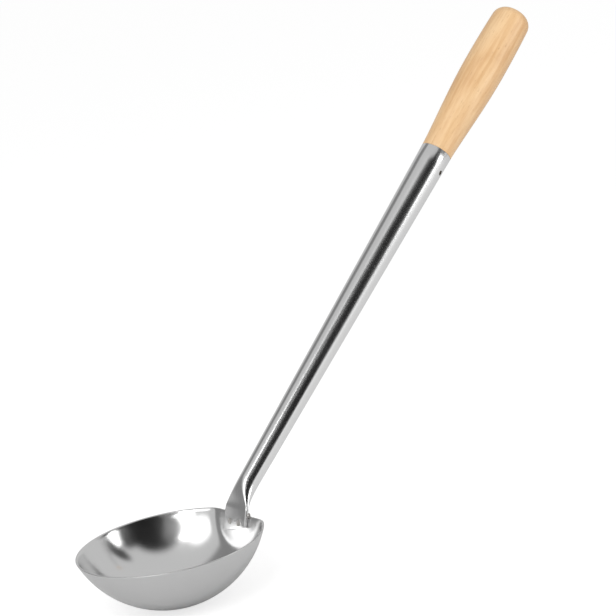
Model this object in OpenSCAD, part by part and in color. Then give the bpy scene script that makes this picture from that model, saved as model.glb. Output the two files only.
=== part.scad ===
// Soup ladle: a pressed steel bowl, a tapered tube handle whose lower end is
// pressed flat and welded inside the bowl, and a turned wood grip in its socket.
// The bowl's axis is Z, its lowest point is the origin and the handle rises
// towards +X. Everything is in millimetres.

/* [Bowl] */
// Outer diameter of the bowl at its rim
bowl_d = 115; // [95:1:140]
// Height of the rim above the lowest point of the bowl
bowl_depth = 39.5; // [32:0.5:46]
// Thickness of the bowl's sheet
bowl_wall = 1.2; // [0.8:0.1:1.8]
// How far the rim is pressed in where the tongue seats
seat_inset = 5.5; // [4:0.5:9]
// Slope of the flat seat and of the tongue, from the rim plane
seat_angle = 70; // [66:1:76]

/* [Tongue] */
// Width of the flat tongue
tongue_w = 23; // [18:0.5:26]
// Thickness of the tongue, two layers of the tube's wall
tongue_t = 2.4; // [2:0.1:3.2]
// Length of the tongue below the rim, at its middle and along its slope
tongue_drop = 9.8; // [8:0.2:13]
// Slant of the tongue's lower end
tongue_cut = 13; // [0:1:16]

/* [Handle tube] */
// Rise of the handle above the rim plane
handle_angle = 41; // [36:0.5:46]
// Distance from the bowl's axis to where the handle's axis meets the rim plane
handle_foot = 43; // [40:0.5:46]
// Length of the round tube above the neck
tube_length = 242; // [160:1:300]
// Outer diameter of the tube where the neck begins
tube_neck_d = 13.0; // [11:0.1:15]
// Outer diameter of the tube at its open end
tube_top_d = 20.4; // [18:0.1:23]
// Thickness of the tube's wall
tube_wall = 1.1; // [0.8:0.1:1.2]
// Length of the neck above its bend
neck_above = 16; // [12:0.5:20]
// Length of the neck below its bend
neck_below = 5.5; // [5:0.5:6]

/* [Wood grip] */
// Length of the grip outside the tube
grip_length = 109; // [80:1:130]
// Diameter of the grip where it meets the tube
grip_front_d = 20.4; // [18.5:0.1:22]
// Largest diameter of the grip
grip_max_d = 27; // [24:0.1:31]
// Distance from the tube to the grip's thickest place
grip_max_at = 67; // [45:1:75]
// Diameter of the grip at its rounded end
grip_end_d = 24.6; // [22:0.1:27]
// Radius of the grip's rounded end
grip_round = 8; // [4:0.5:11]
// Length of the spigot inside the tube
spigot_length = 38; // [26:1:60]
// Gap between the spigot and the tube's bore, on each side
spigot_gap = 0.1; // [0.05:0.05:0.3]

/* [Nail] */
// Distance of the nail from the tube's open end
nail_at = 12.5; // [8:0.5:20]
// Turn of the nail round the tube, from its upper side
nail_turn = 118; // [60:1:180]
// Diameter of the nail's shank
nail_d = 1.6; // [1.2:0.1:2.2]
// Diameter of the nail's head
nail_head_d = 3; // [2.6:0.1:4]
// Thickness of the nail's head
nail_head_t = 0.7; // [0.5:0.1:0.9]
// Depth that the nail reaches into the grip, from the tube's surface
nail_length = 14; // [10:0.5:16]

/* [Welds] */
// Diameter of each spot weld in the tongue
spot_d = 4; // [3:0.1:5]
// Distance between the two spot welds
spot_pitch = 9; // [7:0.5:11]
// Depth of the spot welds below the rim, along the slope
spot_drop = 5.5; // [4:0.5:6]
// Radius of the bead where each edge of the tongue crosses the rim
bead_r = 1.8; // [1.4:0.1:2.2]

/* [Hidden] */
$fn = 96;
neck_sides = 32;
neck_rings = 12;
hollow_end = 0.5;
neck_flat_at = 0.85;
least_hollow = 1;
overlap = 1;
overlap_step = 0.3;
seam = 0.16;
spot_share = 0.7;
head_clearance = 0.1;
nail_tip = 3;
swell_power = 1.35;
swell_steps = 18;
far = 300;

ball_r = (pow(bowl_d / 2, 2) + pow(bowl_depth, 2)) / (2 * bowl_depth);
seat_x = bowl_d / 2 - seat_inset;
tongue_mid = bowl_wall + tongue_t / 2;
tongue_mid_x = seat_x - tongue_mid / sin(seat_angle);

// In side view the rim plane is y = 0 and the bowl's axis is x = 0
handle_dir = [cos(handle_angle), sin(handle_angle)];
tongue_dir = [cos(seat_angle), sin(seat_angle)];
bend_rise = (tongue_mid_x - handle_foot) / (1 / tan(handle_angle) - 1 / tan(seat_angle));
bend = [handle_foot + bend_rise / tan(handle_angle), bend_rise];
neck_top = bend + neck_above * handle_dir;
neck_end = bend - neck_below * tongue_dir;
tongue_top = bend_rise / sin(seat_angle) - neck_below - tongue_mid / tan(seat_angle);

// Outer radius of the tube at a height above the neck
function tube_r(h) = (tube_neck_d + (tube_top_d - tube_neck_d) * h / tube_length) / 2;
function ease(t) = t * t * (3 - 2 * t);

// The neck's middle line is a quadratic curve with its control point at the bend
function neck_point(t) = pow(1 - t, 2) * neck_top + 2 * t * (1 - t) * bend + t * t * neck_end;
function neck_slope(t) = (1 - t) * (neck_top - bend) * -1 + t * (neck_end - bend);
function neck_width(t) = tube_neck_d + (tongue_w - tube_neck_d) * ease(t) - seam;
function neck_thick(t) =
    tube_neck_d + (tongue_t - tube_neck_d) * ease(min(1, t / neck_flat_at)) - seam;

// One ring about the point c, across the direction d: a slot w wide and h thick
function ring(c, d, w, h) =
    [for (i = [0:neck_sides - 1])
        let (
            a = 360 * (i + 0.5) / neck_sides,
            across = sign(cos(a)) * (w - h) / 2 + cos(a) * h / 2,
            up = sin(a) * h / 2
        )
        [c[0] + d[1] * up, across, c[1] - d[0] * up + bowl_depth]
    ];

// Rings down the neck to t = reach, each thinner than the neck by a wall on each side.
// A narrower ring runs up into the tube, so that the two overlap.
function neck_rings_to(reach, wall) =
    let (root_d = tube_neck_d - 2 * wall - 2 * overlap_step)
    concat(
        [ring(neck_top + overlap * handle_dir, -handle_dir, root_d, root_d)],
        [for (k = [0:neck_rings])
            let (t = reach * k / neck_rings, s = neck_slope(t))
            ring(
                neck_point(t),
                s / norm(s),
                neck_width(t) - 2 * wall,
                max(least_hollow, neck_thick(t) - 2 * wall)
            )]
    );
function root_ring() =
    ring(neck_end - overlap * tongue_dir, -tongue_dir,
        tongue_w - 2 * overlap_step, tongue_t - 2 * overlap_step);

// Radius of the grip at a distance from the tube
function grip_r(x) =
    x < grip_max_at
    ? (grip_front_d + (grip_max_d - grip_front_d) * pow(sin(90 * x / grip_max_at), swell_power)) / 2
    : (grip_max_d - (grip_max_d - grip_end_d)
        * pow((x - grip_max_at) / (grip_length - grip_max_at), 2)) / 2;
function spigot_r(x) = tube_r(tube_length + x) - tube_wall - spigot_gap;

module on_handle(h) {
    translate([neck_top[0], 0, bowl_depth + neck_top[1]])
        rotate([0, 90 - handle_angle, 0])
            translate([0, 0, h])
                children();
}

// Here Z runs up the slope of the seat from the rim and X points out of the bowl
module on_seat() {
    translate([seat_x, 0, bowl_depth])
        rotate([0, 90 - seat_angle, 0])
            children();
}

// Here Z points out of the tube along the nail
module on_nail() {
    on_handle(tube_length - nail_at)
        rotate([0, 0, nail_turn])
            rotate([0, -90, 0])
                children();
}

// A ball whose side is cut flat, inset from the seat's outer face
module seated_ball(inset) {
    intersection() {
        translate([0, 0, ball_r])
            sphere(r = ball_r - inset);
        on_seat()
            translate([-inset - far, -far / 2, -far / 2])
                cube(far);
    }
}

module bowl_shell() {
    difference() {
        intersection() {
            seated_ball(0);
            translate([-far / 2, -far / 2, bowl_depth - far])
                cube(far);
        }
        seated_ball(bowl_wall);
    }
}

module bowl() {
    color("lightsteelblue")
        difference() {
            bowl_shell();
            spots();
        }
}

// The flat tongue, with half-round edges and a slanted lower end
module tongue() {
    edge = (tongue_w - tongue_t) / 2;
    drop = tongue_drop + tongue_w;
    on_seat()
        translate([-tongue_mid, 0, 0])
            difference() {
                translate([0, 0, tongue_top - drop])
                    linear_extrude(drop) {
                        square([tongue_t, 2 * edge], center = true);
                        for (side = [-1, 1])
                            translate([0, side * edge])
                                circle(d = tongue_t);
                    }
                translate([0, 0, -tongue_drop])
                    rotate([-tongue_cut, 0, 0])
                        translate([-far / 2, -far / 2, -far])
                            cube(far);
            }
}

// A closed solid through a list of rings
module loft(rings) {
    n = neck_sides;
    last = n * (len(rings) - 1);
    sides = [for (k = [0:len(rings) - 2], i = [0:n - 1])
        let (j = (i + 1) % n, a = k * n, b = a + n)
        each [[a + i, a + j, b + j], [a + i, b + j, b + i]]];
    top = [[for (i = [0:n - 1]) n - 1 - i]];
    bottom = [[for (i = [0:n - 1]) last + i]];
    polyhedron([for (r = rings) each r], concat(sides, top, bottom));
}

// Outside of the handle: the round tube, the neck and the tongue
module handle_outside() {
    on_handle(0)
        cylinder(h = tube_length, d1 = tube_neck_d, d2 = tube_top_d);
    loft(concat(neck_rings_to(1, 0), [root_ring()]));
    tongue();
}

// Inside of the handle: the round bore and the hollow that narrows down the neck
module handle_inside() {
    on_handle(0)
        cylinder(h = tube_length, d1 = tube_neck_d - 2 * tube_wall, d2 = tube_top_d - 2 * tube_wall);
    loft(neck_rings_to(hollow_end, tube_wall));
}

module handle_tube() {
    color("silver")
        difference() {
            handle_outside();
            handle_inside();
            on_nail()
                cylinder(d = nail_head_d + 2 * head_clearance, h = tube_top_d);
            spots(overlap);
        }
}

module wood_grip() {
    swell = [for (k = [0:swell_steps])
        let (x = (grip_length - grip_round) * k / swell_steps) [grip_r(x), x]];
    end_r = grip_r(grip_length - grip_round) - grip_round;
    dome = [for (a = [10:10:90])
        [end_r + grip_round * cos(a), grip_length - grip_round + grip_round * sin(a)]];
    color("burlywood")
        difference() {
            on_handle(tube_length)
                rotate_extrude()
                    polygon(concat(
                        [[0, -spigot_length], [spigot_r(-spigot_length), -spigot_length]],
                        [[spigot_r(0), 0]],
                        swell,
                        dome,
                        [[0, grip_length]]
                    ));
            nail_shank();
        }
}

// The shank ends in a point inside the grip and runs half way into the head
module nail_shank() {
    seat = spigot_r(-nail_at) + spigot_gap / 2;
    shank = nail_length - nail_tip;
    on_nail() {
        translate([0, 0, seat - shank])
            cylinder(d = nail_d, h = shank + nail_head_t / 2);
        translate([0, 0, seat - nail_length])
            cylinder(d1 = 0, d2 = nail_d, h = nail_tip);
    }
}

module grip_nail() {
    color("dimgray") {
        nail_shank();
        on_nail()
            translate([0, 0, spigot_r(-nail_at) + spigot_gap / 2])
                cylinder(d = nail_head_d, h = nail_head_t);
    }
}

module spots(lead = 0) {
    on_seat()
        for (side = [-1, 1])
            translate([-bowl_wall - tongue_t - lead, side * spot_pitch / 2, -spot_drop])
                rotate([0, 90, 0])
                    cylinder(d = spot_d, h = lead + tongue_t + bowl_wall * spot_share);
}

module spot_welds() {
    color("gray")
        spots();
}

// A quarter ball in each corner between the tongue's edge and the bowl's wall
module rim_welds() {
    color("gray")
        on_seat()
            for (side = [-1, 1])
                translate([-bowl_wall, side * tongue_w / 2, 0])
                    intersection() {
                        sphere(r = bead_r);
                        translate([-bead_r, side * bead_r, 0])
                            cube(2 * bead_r, center = true);
                    }
}

bowl();
handle_tube();
wood_grip();
grip_nail();
spot_welds();
rim_welds();
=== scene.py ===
from math import asin, cos, pi, radians, sin, sqrt, tan
import bpy
import bmesh
from mathutils import Matrix, Vector


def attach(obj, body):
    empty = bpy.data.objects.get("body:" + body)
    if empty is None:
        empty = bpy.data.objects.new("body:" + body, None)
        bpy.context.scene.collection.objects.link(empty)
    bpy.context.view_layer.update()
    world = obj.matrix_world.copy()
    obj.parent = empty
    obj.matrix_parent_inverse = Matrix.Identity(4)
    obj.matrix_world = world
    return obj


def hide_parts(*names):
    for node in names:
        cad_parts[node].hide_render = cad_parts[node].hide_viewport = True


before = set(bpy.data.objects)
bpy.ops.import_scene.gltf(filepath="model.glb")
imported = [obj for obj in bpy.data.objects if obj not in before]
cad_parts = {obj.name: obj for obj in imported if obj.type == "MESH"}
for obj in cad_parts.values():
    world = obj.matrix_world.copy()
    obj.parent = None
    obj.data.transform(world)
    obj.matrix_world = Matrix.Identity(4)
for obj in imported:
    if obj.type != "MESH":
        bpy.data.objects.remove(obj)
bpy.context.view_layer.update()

print("frame loaded")
mm = 0.001  # sizes of the pieces are in millimetres, and those of the studio are in metres

# What several pieces share: the bowl, its flat seat and the line of the handle
ladle = {
    "bowlRadius": 57.5,
    "bowlDepth": 39.5,
    "bowlWall": 1.2,
    "seatInset": 5.5,
    "seatAngle": 70.0,
    "handleAngle": 41.0,
    "handleFoot": 43.0,
}
ballRadius = (ladle["bowlRadius"] ** 2 + ladle["bowlDepth"] ** 2) / (2 * ladle["bowlDepth"])
seatX = ladle["bowlRadius"] - ladle["seatInset"]
handleDir = Vector((cos(radians(ladle["handleAngle"])), 0, sin(radians(ladle["handleAngle"]))))
handleUnder = Vector((handleDir.z, 0, -handleDir.x))
seatUp = Vector((cos(radians(ladle["seatAngle"])), 0, sin(radians(ladle["seatAngle"]))))
seatOut = Vector((seatUp.z, 0, -seatUp.x))
seatTop = Vector((seatX, 0, ladle["bowlDepth"]))
sideways = Vector((0, 1, 0))
alongHandle = (0, pi / 2 - radians(ladle["handleAngle"]), 0)  # turns a pattern's Z onto the handle


def ease(t):
    t = max(0.0, min(1.0, t))
    return t * t * (3 - 2 * t)


# Skins a list of rings into a closed piece; a ring of one point is a pole, and any other end is capped
def meshFromRings(name, rings):
    work = bmesh.new()
    rows = [[work.verts.new(Vector(point) * mm) for point in ring] for ring in rings]
    for above, below in zip(rows, rows[1:]):
        many = max(above, below, key=len)
        for i in range(len(many)):
            j = (i + 1) % len(many)
            if len(above) == len(below):
                work.faces.new((above[i], above[j], below[j], below[i]))
            else:
                pole = min(above, below, key=len)[0]
                work.faces.new((many[i], many[j], pole))
    for end in (rows[0], rows[-1]):
        if len(end) > 1:
            work.faces.new(end)
    bmesh.ops.remove_doubles(work, verts=work.verts, dist=1e-7)
    bmesh.ops.recalc_face_normals(work, faces=work.faces)
    for face in work.faces:
        face.smooth = True
    mesh = bpy.data.meshes.new(name)
    work.to_mesh(mesh)
    work.free()
    piece = bpy.data.objects.new(name, mesh)
    bpy.context.scene.collection.objects.link(piece)
    return piece


def drill(piece, holes):  # each hole is a start, a direction, a length and a diameter
    bit = {"sides": 48, "sharpOver": 40.0}
    work = bmesh.new()
    for start, along, length, diameter in holes:
        turn = along.to_track_quat("Z", "Y").to_matrix().to_4x4()
        middle = Matrix.Translation((start + along * length / 2) * mm)
        radius = diameter / 2 * mm
        bmesh.ops.create_cone(work, cap_ends=True, segments=bit["sides"], radius1=radius, radius2=radius,
                              depth=length * mm, matrix=middle @ turn)
    mesh = bpy.data.meshes.new("drillBits")
    work.to_mesh(mesh)
    work.free()
    bits = bpy.data.objects.new("drillBits", mesh)
    bpy.context.scene.collection.objects.link(bits)
    cut = piece.modifiers.new("holes", "BOOLEAN")
    cut.operation = "DIFFERENCE"
    cut.solver = "EXACT"
    cut.object = bits
    evaluated = piece.evaluated_get(bpy.context.evaluated_depsgraph_get())
    drilled = bpy.data.meshes.new_from_object(evaluated)
    piece.modifiers.clear()
    piece.data = drilled
    bpy.data.objects.remove(bits)
    for face in drilled.polygons:
        face.use_smooth = True
    drilled.set_sharp_from_angle(angle=radians(bit["sharpOver"]))


# A piece of the scene takes the place of one node of the frame
def settle(piece, material, node):
    piece.data.materials.append(material)
    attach(piece, "root")
    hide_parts(node)


# A socket that takes part in sums: each operator adds a Math node
class Wire:
    def __init__(self, graph, socket):
        self.graph = graph
        self.socket = socket

    def maths(self, operation, first, second):
        return self.graph.node("ShaderNodeMath", {"operation": operation}, {0: first, 1: second})

    def __add__(self, other):
        return self.maths("ADD", self, other)

    def __radd__(self, other):
        return self.maths("ADD", other, self)

    def __sub__(self, other):
        return self.maths("SUBTRACT", self, other)

    def __rsub__(self, other):
        return self.maths("SUBTRACT", other, self)

    def __mul__(self, other):
        return self.maths("MULTIPLY", self, other)

    def __rmul__(self, other):
        return self.maths("MULTIPLY", other, self)

    def __gt__(self, other):
        return self.maths("GREATER_THAN", self, other)


# The nodes of one material
class Graph:
    def __init__(self, name):
        self.material = bpy.data.materials.new(name)
        self.material.use_nodes = True
        self.tree = self.material.node_tree
        self.tree.nodes.clear()

    def node(self, kind, settings=None, sockets=None, out=0):
        made = self.tree.nodes.new(kind)
        for key, value in (settings or {}).items():
            if key == "stops":
                ramp = made.color_ramp
                while len(ramp.elements) < len(value):
                    ramp.elements.new(0.5)
                for element, (place, colour) in zip(ramp.elements, value):
                    element.position = place
                    element.color = (*colour, 1)
            else:
                setattr(made, key, value)
        for key, value in (sockets or {}).items():
            if isinstance(value, Wire):
                self.tree.links.new(value.socket, made.inputs[key])
            else:
                made.inputs[key].default_value = value
        return Wire(self, made.outputs[out])

    def place(self, centre=(0, 0, 0), turn=(0, 0, 0), scale=(1, 1, 1)):
        coordinates = self.node("ShaderNodeTexCoord", out=3)  # object coordinates
        return self.node("ShaderNodeMapping", {"vector_type": "TEXTURE"}, {
            "Vector": coordinates, "Location": centre, "Rotation": turn, "Scale": scale})

    def noise(self, vector, scale, detail=3.0, rough=0.5):
        return self.node("ShaderNodeTexNoise", {}, {
            "Vector": vector, "Scale": scale, "Detail": detail, "Roughness": rough})

    def alongNoise(self, stretch, scale, detail=3.0, rough=0.5):  # drawn out along the handle
        return self.noise(self.place(turn=alongHandle, scale=(1, 1, stretch)), scale, detail, rough)

    def mixColour(self, factor, first, second):
        colours = [c if isinstance(c, Wire) else (*c, 1) for c in (first, second)]
        return self.node("ShaderNodeMix", {"data_type": "RGBA"}, {
            0: factor, 6: colours[0], 7: colours[1]}, out=2)

    def length(self, vector):
        return self.node("ShaderNodeVectorMath", {"operation": "LENGTH"}, {0: vector}, out=1)

    def finish(self, surface):
        end = self.tree.nodes.new("ShaderNodeOutputMaterial")
        self.tree.links.new(surface.socket, end.inputs["Surface"])
        return self.material

    # The object's own finishes: colour, roughness, a bump from a height, and constants
    def skin(self, colour, rough, height, bump, constants):
        strength, distance = bump
        normal = self.node("ShaderNodeBump", {}, {
            "Strength": strength, "Distance": distance * mm, "Height": height})
        return self.finish(self.node("ShaderNodeBsdfPrincipled", {}, {
            "Base Color": colour, "Roughness": rough, "Normal": normal, **constants}))


def grey(level):
    return level, level, level


# The bowl: polished inside and satin outside, with a flat seat for the tongue
bowl = {
    "sides": 192,
    "rings": 44,
    "edge": 0.5,
    "lipSide": 0.12,
    "lipDrop": 0.15,
    "lipTop": 0.4,
    "seatBlend": 2.0,
    "insideColour": grey(0.80),
    "outsideColour": grey(0.60),
    "insideRough": 0.10,
    "outsideRough": 0.20,  # added on the outside
    "brush": {"stretch": 0.06, "scale": 900.0, "rough": 0.08, "insideHeight": 0.25},
    "patches": {"scale": 28.0, "rough": 0.05},
    "haze": {"scale": 140.0, "rough": 0.05, "height": 0.4},
    "bump": (0.06, 0.4),  # strength, and depth in millimetres
}


def bowlSteel():
    g = Graph("bowlSteel")
    fromCentre = g.place(centre=(0, 0, ballRadius * mm))
    outside = g.length(fromCentre) > (ballRadius - ladle["bowlWall"] / 2) * mm
    brush, patches, haze = bowl["brush"], bowl["patches"], bowl["haze"]
    brushed = g.noise(g.place(scale=(1, 1, brush["stretch"])), brush["scale"], 4.0, 0.6)
    patchy = g.noise(fromCentre, patches["scale"], 3.0, 0.55)
    hazy = g.noise(fromCentre, haze["scale"], 4.0, 0.6)
    rough = bowl["insideRough"] + patches["rough"] * patchy + haze["rough"] * hazy
    rough = rough + outside * (bowl["outsideRough"] + brush["rough"] * brushed)
    colour = g.mixColour(outside, bowl["insideColour"], bowl["outsideColour"])
    height = brushed * (brush["insideHeight"] + outside) + haze["height"] * hazy
    return g.skin(colour, rough, height, bowl["bump"], {"Metallic": 1.0})


def makeBowl(material):
    depth = ladle["bowlDepth"]
    wall = ladle["bowlWall"]
    insideRadius = ballRadius - wall
    slope = radians(ladle["seatAngle"])

    def radiusAt(z, ball):
        return sqrt(max(0.0, ball ** 2 - (ballRadius - z) ** 2))

    def seatShift(x, z, inset):  # how far the flat seat pushes a point towards the axis
        blend = bowl["seatBlend"]
        over = x - (seatX - inset / sin(slope) + (z - depth) / tan(slope))
        if over <= -blend:
            return 0.0
        return over if over >= blend else (over + blend) ** 2 / (4 * blend)

    def ring(radius, z, inset):
        points = []
        for i in range(bowl["sides"]):
            turn = 2 * pi * i / bowl["sides"]
            x = radius * cos(turn)
            points.append((x - seatShift(x, z, inset), radius * sin(turn), z))
        return points

    def ballRings(ball, inset):  # from beside the pole up to the edge
        last = asin(radiusAt(depth - bowl["edge"], ball) / ball)
        turns = [last * k / bowl["rings"] for k in range(1, bowl["rings"] + 1)]
        return [ring(ball * sin(turn), ballRadius - ball * cos(turn), inset) for turn in turns]

    side, drop, top = bowl["lipSide"], bowl["lipDrop"], bowl["lipTop"]
    outerRim, innerRim = radiusAt(depth, ballRadius), radiusAt(depth, insideRadius)
    lip = [ring(outerRim - side, depth - drop, side), ring(outerRim - top, depth, top),
           ring(innerRim + top, depth, wall - top), ring(innerRim + side, depth - drop, wall - side)]
    outer = [[(0, 0, 0)]] + ballRings(ballRadius, 0)
    inner = ballRings(insideRadius, wall)[::-1] + [[(0, 0, wall)]]
    settle(meshFromRings("steelBowl", outer + lip + inner), material, "bowl")
    print("bowl made")


# The tube, its neck and its tongue; it is hollow only at the socket, where the spigot goes in
tube = {
    "length": 242.0,
    "neckD": 13.0,
    "topD": 20.4,
    "wall": 1.1,
    "socketDepth": 60.0,
    "lip": 0.3,
    "lipMiddle": 0.1,
    "neckAbove": 16.0,
    "neckBelow": 5.5,
    "flatAt": 0.85,
    "tongueW": 23.0,
    "tongueT": 2.4,
    "tongueDrop": 9.8,
    "tongueCut": 13.0,
    "tipRound": 0.25,
    "tipRings": ((0.06, 0.12, 0.14), (0.0, 0.5, 0.5)),  # above the end, narrower by, thinner by
    "nailAt": 12.5,
    "nailTurn": 118.0,
    "nailHole": 3.2,
    "nailDrill": (5.0, 12.0),  # start from the tube's axis, and length
    "spotDrop": 5.5,
    "spotPitch": 9.0,
    "spotD": 4.0,
    "spotSpare": 1.0,
    "sides": 72,
    "coneRings": 24,
    "neckRings": 30,
    "tongueRings": 10,
    "colour": grey(0.78),
    "polish": 0.11,
    "drawn": {"stretch": 30, "scale": 700.0, "rough": 0.05},  # fine lines left by drawing the tube
    "smudge": {"stretch": 3, "scale": 60.0, "rough": 0.10},
    "bump": (0.05, 0.4),
}
tongueMid = ladle["bowlWall"] + tube["tongueT"] / 2
midX = seatX - tongueMid / seatUp.z
bendRise = (midX - ladle["handleFoot"]) / (handleDir.x / handleDir.z - seatUp.x / seatUp.z)
bendX = ladle["handleFoot"] + bendRise * handleDir.x / handleDir.z
bend = Vector((bendX, 0, ladle["bowlDepth"] + bendRise))
neckTop = bend + handleDir * tube["neckAbove"]
neckEnd = bend - seatUp * tube["neckBelow"]


def tubeSteel():
    g = Graph("tubeSteel")
    drawn, smudge = tube["drawn"], tube["smudge"]
    lines = g.alongNoise(drawn["stretch"], drawn["scale"], 4.0, 0.6)
    smudged = g.alongNoise(smudge["stretch"], smudge["scale"])
    rough = tube["polish"] + smudge["rough"] * smudged + drawn["rough"] * lines
    return g.skin((*tube["colour"], 1), rough, lines, tube["bump"], {"Metallic": 1.0})


def makeTube(material):
    length, wall, lip = tube["length"], tube["wall"], tube["lip"]

    def slotRing(centre, along, width, thickness, slant=0.0):
        along = along.normalized()
        under = Vector((along.z, 0, -along.x))
        points = []
        for i in range(tube["sides"]):
            turn = 2 * pi * (i + 0.5) / tube["sides"]
            flat = (width - thickness) / 2 if cos(turn) > 0 else (thickness - width) / 2
            across = flat + cos(turn) * thickness / 2
            points.append(centre + sideways * across + under * (sin(turn) * thickness / 2)
                          - along * (slant * across))
        return points

    def roundRing(height, inset):
        diameter = tube["neckD"] + (tube["topD"] - tube["neckD"]) * height / length - 2 * inset
        return slotRing(neckTop + handleDir * height, handleDir, diameter, diameter)

    def socketRings():
        return [roundRing(length - tube["socketDepth"], wall), roundRing(length - lip, wall),
                roundRing(length, wall - lip), roundRing(length, lip),
                roundRing(length - tube["lipMiddle"], tube["lipMiddle"]), roundRing(length - lip, 0)]

    def coneRings():
        steps = tube["coneRings"]
        return [roundRing((length - lip) * (1 - k / steps), 0) for k in range(1, steps + 1)]

    def neckRings():  # round at the top, flat at the end, on a curve pulled to the bend
        made = []
        for k in range(1, tube["neckRings"] + 1):
            t = k / tube["neckRings"]
            centre = neckTop * (1 - t) ** 2 + bend * (2 * t * (1 - t)) + neckEnd * t * t
            along = (neckTop - bend) * (1 - t) + (bend - neckEnd) * t
            width = tube["neckD"] + (tube["tongueW"] - tube["neckD"]) * ease(t)
            thickness = tube["neckD"] + (tube["tongueT"] - tube["neckD"]) * ease(t / tube["flatAt"])
            made.append(slotRing(centre, along, width, thickness))
        return made

    def tongueRings():  # the slant grows down the tongue to its cut end
        rise = (neckEnd - Vector((midX, 0, ladle["bowlDepth"]))).length
        drop = tube["tongueDrop"] + rise - tongueMid * seatUp.x / seatUp.z
        cut = tan(radians(tube["tongueCut"]))
        made = []
        for k in range(1, tube["tongueRings"] + 1):
            t = k / tube["tongueRings"]
            centre = neckEnd - seatUp * (drop - tube["tipRound"]) * t
            made.append(slotRing(centre, seatUp, tube["tongueW"], tube["tongueT"], cut * t))
        for above, narrower, thinner in tube["tipRings"]:
            made.append(slotRing(neckEnd - seatUp * (drop - above), seatUp, tube["tongueW"] - narrower,
                                 tube["tongueT"] - thinner, cut))
        return made

    def nailHole():
        turn = radians(tube["nailTurn"])
        outwards = (handleUnder * -cos(turn) - sideways * sin(turn)).normalized()
        offAxis, reach = tube["nailDrill"]
        start = neckTop + handleDir * (length - tube["nailAt"]) + outwards * offAxis
        return start, outwards, reach, tube["nailHole"]

    def spotHole(side):
        spare = tube["spotSpare"]
        start = seatTop - seatUp * tube["spotDrop"] + sideways * side * tube["spotPitch"] / 2
        start -= seatOut * (ladle["bowlWall"] + tube["tongueT"] + spare)
        return start, seatOut, tube["tongueT"] + 2 * spare, tube["spotD"]

    piece = meshFromRings("steelTube", socketRings() + coneRings() + neckRings() + tongueRings())
    drill(piece, [nailHole(), spotHole(-1), spotHole(1)])
    settle(piece, material, "handle_tube")
    print("tube made")


# The turned grip, with its spigot in the tube
grip = {
    "length": 109.0,
    "frontD": 20.4,
    "maxD": 27.0,
    "maxAt": 67.0,
    "endD": 24.6,
    "round": 8.0,
    "swell": 1.35,
    "spigot": 38.0,
    "gap": 0.1,
    "edgeIn": 0.35,
    "edgeMiddle": (0.12, 0.1),  # along the grip, and in from its surface
    "edgeEnd": 0.4,
    "sides": 96,
    "bodyRings": 60,
    "endRings": 16,
    "patches": {"stretch": 3, "scale": 55.0, "stops": [
        (0.28, (0.62, 0.35, 0.15)), (0.5, (0.76, 0.48, 0.235)), (0.72, (0.84, 0.585, 0.33))]},
    "grain": {"stretch": 14, "scale": 420.0, "share": 0.35, "rough": 0.16, "stops": [
        (0.35, (0.55, 0.29, 0.12)), (0.62, (0.86, 0.60, 0.34))]},
    "pores": {"stretch": 6, "scale": 1500.0, "over": 0.68, "share": 0.28, "depth": 0.6,
              "colour": (0.36, 0.18, 0.07)},
    "rough": 0.36,
    "bump": (0.12, 0.3),
    "varnish": {"Coat Weight": 0.25, "Coat Roughness": 0.22},
}


def beech():
    g = Graph("beech")
    patches, grain, pores = grip["patches"], grip["grain"], grip["pores"]
    patchy = g.alongNoise(patches["stretch"], patches["scale"], 3.0, 0.55)
    grainy = g.alongNoise(grain["stretch"], grain["scale"], 5.0, 0.6)
    pitted = g.alongNoise(pores["stretch"], pores["scale"], 2.0) > pores["over"]
    patchColour = g.node("ShaderNodeValToRGB", {"stops": patches["stops"]}, {"Fac": patchy})
    grainColour = g.node("ShaderNodeValToRGB", {"stops": grain["stops"]}, {"Fac": grainy})
    colour = g.mixColour(grain["share"], patchColour, grainColour)
    colour = g.mixColour(pitted * pores["share"], colour, pores["colour"])
    rough = grip["rough"] + grain["rough"] * grainy
    return g.skin(colour, rough, grainy - pores["depth"] * pitted, grip["bump"], grip["varnish"])


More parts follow.
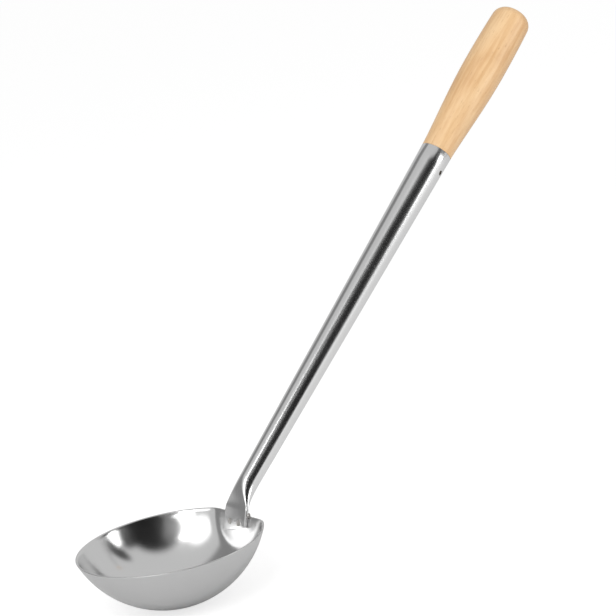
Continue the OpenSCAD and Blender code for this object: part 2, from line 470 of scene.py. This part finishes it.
def makeGrip(material):
    start = neckTop + handleDir * tube["length"]
    stop = grip["length"] - grip["round"]

    def ring(along, radius):
        turns = [2 * pi * i / grip["sides"] for i in range(grip["sides"])]
        centre = start + handleDir * along
        return [centre + sideways * (radius * cos(turn)) + handleUnder * (radius * sin(turn))
                for turn in turns]

    def radiusAt(along):
        if along < grip["maxAt"]:
            grown = sin(pi / 2 * along / grip["maxAt"]) ** grip["swell"]
            return (grip["frontD"] + (grip["maxD"] - grip["frontD"]) * grown) / 2
        past = (along - grip["maxAt"]) / (grip["length"] - grip["maxAt"])
        return (grip["maxD"] - (grip["maxD"] - grip["endD"]) * past * past) / 2

    def spigotRings():  # it follows the bore's taper, with a gap
        bore = tube["topD"] / 2 - tube["wall"] - grip["gap"]
        taper = (tube["topD"] - tube["neckD"]) / 2 / tube["length"]
        return [[start - handleDir * grip["spigot"]],
                ring(-grip["spigot"], bore - taper * grip["spigot"]), ring(0, bore)]

    def edgeRings():  # the shoulder at the tube's lip, with its corner eased
        along, inwards = grip["edgeMiddle"]
        return [ring(0, radiusAt(0) - grip["edgeIn"]), ring(along, radiusAt(0) - inwards),
                ring(grip["edgeEnd"], radiusAt(grip["edgeEnd"]))]

    def bodyRings():
        first = grip["edgeEnd"]
        places = [first + (stop - first) * k / grip["bodyRings"] for k in range(1, grip["bodyRings"] + 1)]
        return [ring(place, radiusAt(place)) for place in places]

    def endRings():
        flat = radiusAt(stop) - grip["round"]
        turns = [pi / 2 * k / grip["endRings"] for k in range(1, grip["endRings"] + 1)]
        made = [ring(stop + grip["round"] * sin(turn), flat + grip["round"] * cos(turn)) for turn in turns]
        return made + [[start + handleDir * grip["length"]]]

    rings = spigotRings() + edgeRings() + bodyRings() + endRings()
    settle(meshFromRings("woodGrip", rings), material, "wood_grip")
    print("grip made")


# The welds and the nail keep the frame's own solids, in a mottled finish
smallFinishes = {
    "weldMetal": {
        "nodes": ("spot_welds", "rim_welds"),
        "mottle": 1400.0,
        "colours": ((0.30, 0.28, 0.26), (0.62, 0.61, 0.60)),
        "rough": (0.28, 0.2),  # least, and added with the mottle
        "bump": (0.4, 0.3),
        "metal": 1.0,
    },
    "nailSteel": {
        "nodes": ("grip_nail",),
        "mottle": 1100.0,
        "colours": ((0.05, 0.045, 0.04), (0.16, 0.12, 0.09)),
        "rough": (0.45, 0.2),
        "bump": (0.3, 0.2),
        "metal": 0.9,
    },
}


def dressSmallPieces():
    for name, finish in smallFinishes.items():
        g = Graph(name)
        mottle = g.noise(g.place(), finish["mottle"], 4.0, 0.6)
        colour = g.mixColour(mottle, *finish["colours"])
        least, added = finish["rough"]
        material = g.skin(colour, least + added * mottle, mottle, finish["bump"],
                          {"Metallic": finish["metal"]})
        for node in finish["nodes"]:
            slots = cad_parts[node].data.materials
            slots.clear()
            slots.append(material)
    print("welds and nail dressed")


# The camera stands on the -X and -Y side and looks a little down, with the picture rolled. The two
# shifts say where the middle of the bowl's rim lies from the middle of the picture, in millimetres.
view = {
    "height": 13.43,
    "azimuth": 34.0,
    "roll": 10.49,
    "distance": 1500.0,
    "shiftRight": -82.7,
    "shiftUp": -139.5,
    "pixelsPerMm": 1.672,
    "framePixels": 616,
    "sensor": 36.0,
}


def makeCamera():
    height, azimuth, roll = radians(view["height"]), radians(view["azimuth"]), radians(view["roll"])
    level = Vector((cos(azimuth), -sin(azimuth), 0))
    away = Vector((sin(azimuth), cos(azimuth), 0))
    vertical = Vector((0, 0, 1))
    forward = away * cos(height) - vertical * sin(height)
    upright = away * sin(height) + vertical * cos(height)
    right = level * cos(roll) - upright * sin(roll)
    up = level * sin(roll) + upright * cos(roll)
    place = vertical * ladle["bowlDepth"] - right * view["shiftRight"] - up * view["shiftUp"]
    place -= forward * view["distance"]
    data = bpy.data.cameras.new("camera")
    data.sensor_width = view["sensor"]
    data.lens = view["pixelsPerMm"] * view["distance"] / view["framePixels"] * view["sensor"]
    data.clip_end = 50
    camera = bpy.data.objects.new("camera", data)
    turn = Matrix((right, up, -forward)).transposed().to_4x4()
    camera.matrix_world = Matrix.Translation(place * mm) @ turn
    bpy.context.scene.collection.objects.link(camera)
    bpy.context.scene.camera = camera
    return right, forward


# Places, aims and sizes here are in metres; a shade is a grey, and past 1 it is a glow
studio = {
    "floorHalf": 6.0,
    "floorColour": grey(0.82),
    "floorSeenColour": grey(0.42),
    "floorSeenGlow": 0.72,
    "backdrop": grey(1.0),
    "room": grey(0.62),
    "lights": {
        "keyBox": {"place": (-0.9, -0.7, 1.1), "aim": (0.05, 0, 0.08), "size": (0.7, 0.9), "power": 12.0},
        "fillBox": {"place": (0.9, -1.0, 0.5), "aim": (0.1, 0, 0.1), "size": (0.5, 0.8), "power": 4.0},
    },
    "cardSolid": 0.6,  # share of a card's half that is solid before its edge fades
    "tubeCards": {  # angle round the handle from the side that faces the camera, to the right
        "tubeBlackCard": {"angle": 20.0, "width": 0.80, "shade": 0.012},
        "tubeSideCard": {"angle": -105.0, "width": 0.60, "shade": 0.25},
    },
    "tubeCardLength": 2.4,
    "tubeCardAway": 0.75,
    "tubeCardMiddle": 0.12,  # up the tube from the neck
    "bowlCards": {  # a place on the bowl's inside, and the way in which it mirrors the card
        "bowlBlackCard": {"mirror": (0.020, 0.047, 0.030), "towards": (-0.18, -0.692, 0.699),
                          "size": (0.86, 0.62), "shade": 0.015},
        "bowlTipCard": {"mirror": (-0.010, 0.050, 0.029), "towards": (0.71, -0.447, 0.544),
                        "size": (0.16, 0.40), "shade": 0.03},
        "bowlWhiteCard": {"mirror": (0.040, 0.030, 0.028), "towards": (-0.705, -0.079, 0.704),
                          "size": (0.36, 0.40), "shade": 1.6},
    },
    "bowlCardAway": 0.6,
}


def flatSheet(name, width, height, material):
    w, h = width / 2, height / 2
    mesh = bpy.data.meshes.new(name)
    mesh.from_pydata([(-w, -h, 0), (w, -h, 0), (w, h, 0), (-w, h, 0)], [], [(0, 1, 2, 3)])
    mesh.materials.append(material)
    sheet = bpy.data.objects.new(name, mesh)
    bpy.context.scene.collection.objects.link(sheet)
    return sheet


def makeFloor():  # brighter where the camera sees it, and still with the ladle's shadow
    g = Graph("paperFloor")
    seen = g.node("ShaderNodeLightPath")  # its first output is Is Camera Ray
    plain = g.node("ShaderNodeBsdfDiffuse", {}, {"Color": (*studio["floorColour"], 1)})
    shaded = g.node("ShaderNodeBsdfDiffuse", {}, {"Color": (*studio["floorSeenColour"], 1)})
    glow = g.node("ShaderNodeEmission", {}, {"Strength": studio["floorSeenGlow"]})
    both = g.node("ShaderNodeAddShader", {}, {0: shaded, 1: glow})
    material = g.finish(g.node("ShaderNodeMixShader", {}, {0: seen, 1: plain, 2: both}))
    flatSheet("floor", 2 * studio["floorHalf"], 2 * studio["floorHalf"], material)


def makeCard(name, size, shade):  # it shows only in glossy surfaces, and its edge fades out
    g = Graph(name + "Paper")
    fromMiddle = g.length(g.place(scale=(size[0] / 2, size[1] / 2, 1)))
    fade = g.node("ShaderNodeMapRange", {"interpolation_type": "SMOOTHSTEP"}, {
        "Value": fromMiddle, "From Min": studio["cardSolid"], "From Max": 1.0})
    board = g.node("ShaderNodeEmission", {}, {
        "Color": (*grey(min(shade, 1.0)), 1), "Strength": max(1.0, shade)})
    gone = g.node("ShaderNodeBsdfTransparent")
    card = flatSheet(name, *size, g.finish(g.node("ShaderNodeMixShader", {}, {0: fade, 1: board, 2: gone})))
    card.visible_camera = False
    card.visible_diffuse = False
    card.visible_shadow = False
    return card


def aimed(thing, place, aim):
    thing.location = place
    thing.rotation_euler = (Vector(aim) - Vector(place)).to_track_quat("-Z", "Y").to_euler()


def makeTubeCards(right, forward):
    middle = neckTop * mm + handleDir * studio["tubeCardMiddle"]
    crosswise = handleDir.cross(-forward).normalized()
    if crosswise.dot(right) < 0:
        crosswise = -crosswise
    facing = crosswise.cross(handleDir).normalized()
    if facing.dot(-forward) < 0:
        facing = -facing
    for name, card in studio["tubeCards"].items():
        angle = radians(card["angle"])
        outwards = crosswise * sin(angle) + facing * cos(angle)
        inwards = -outwards
        made = makeCard(name, (card["width"], studio["tubeCardLength"]), card["shade"])
        turn = Matrix((handleDir.cross(inwards), handleDir, inwards)).transposed().to_4x4()
        made.matrix_world = Matrix.Translation(middle + outwards * studio["tubeCardAway"]) @ turn


def makeBowlCards():
    for name, card in studio["bowlCards"].items():
        made = makeCard(name, card["size"], card["shade"])
        place = Vector(card["mirror"]) + Vector(card["towards"]) * studio["bowlCardAway"]
        aimed(made, place, card["mirror"])


def makeLights():
    for name, light in studio["lights"].items():
        data = bpy.data.lights.new(name, "AREA")
        data.shape = "RECTANGLE"
        data.size, data.size_y = light["size"]
        data.energy = light["power"]
        lamp = bpy.data.objects.new(name, data)
        aimed(lamp, light["place"], light["aim"])
        bpy.context.scene.collection.objects.link(lamp)


def makeWorld():  # the camera sees white, and everything else sees a grey room
    world = bpy.data.worlds.new("studio")
    bpy.context.scene.world = world
    world.use_nodes = True
    tree = world.node_tree
    tree.nodes.clear()
    path = tree.nodes.new("ShaderNodeLightPath")
    mix = tree.nodes.new("ShaderNodeMixShader")
    end = tree.nodes.new("ShaderNodeOutputWorld")
    tree.links.new(path.outputs["Is Camera Ray"], mix.inputs[0])
    for socket, colour in ((1, studio["room"]), (2, studio["backdrop"])):
        background = tree.nodes.new("ShaderNodeBackground")
        background.inputs["Color"].default_value = (*colour, 1)
        tree.links.new(background.outputs[0], mix.inputs[socket])
    tree.links.new(mix.outputs[0], end.inputs["Surface"])


cameraRight, cameraForward = makeCamera()
makeFloor()
makeWorld()
makeLights()
makeTubeCards(cameraRight, cameraForward)
makeBowlCards()
print("camera, floor, lights and cards made")

makeBowl(bowlSteel())
makeTube(tubeSteel())
makeGrip(beech())
dressSmallPieces()

bpy.context.scene.view_settings.view_transform = "Standard"
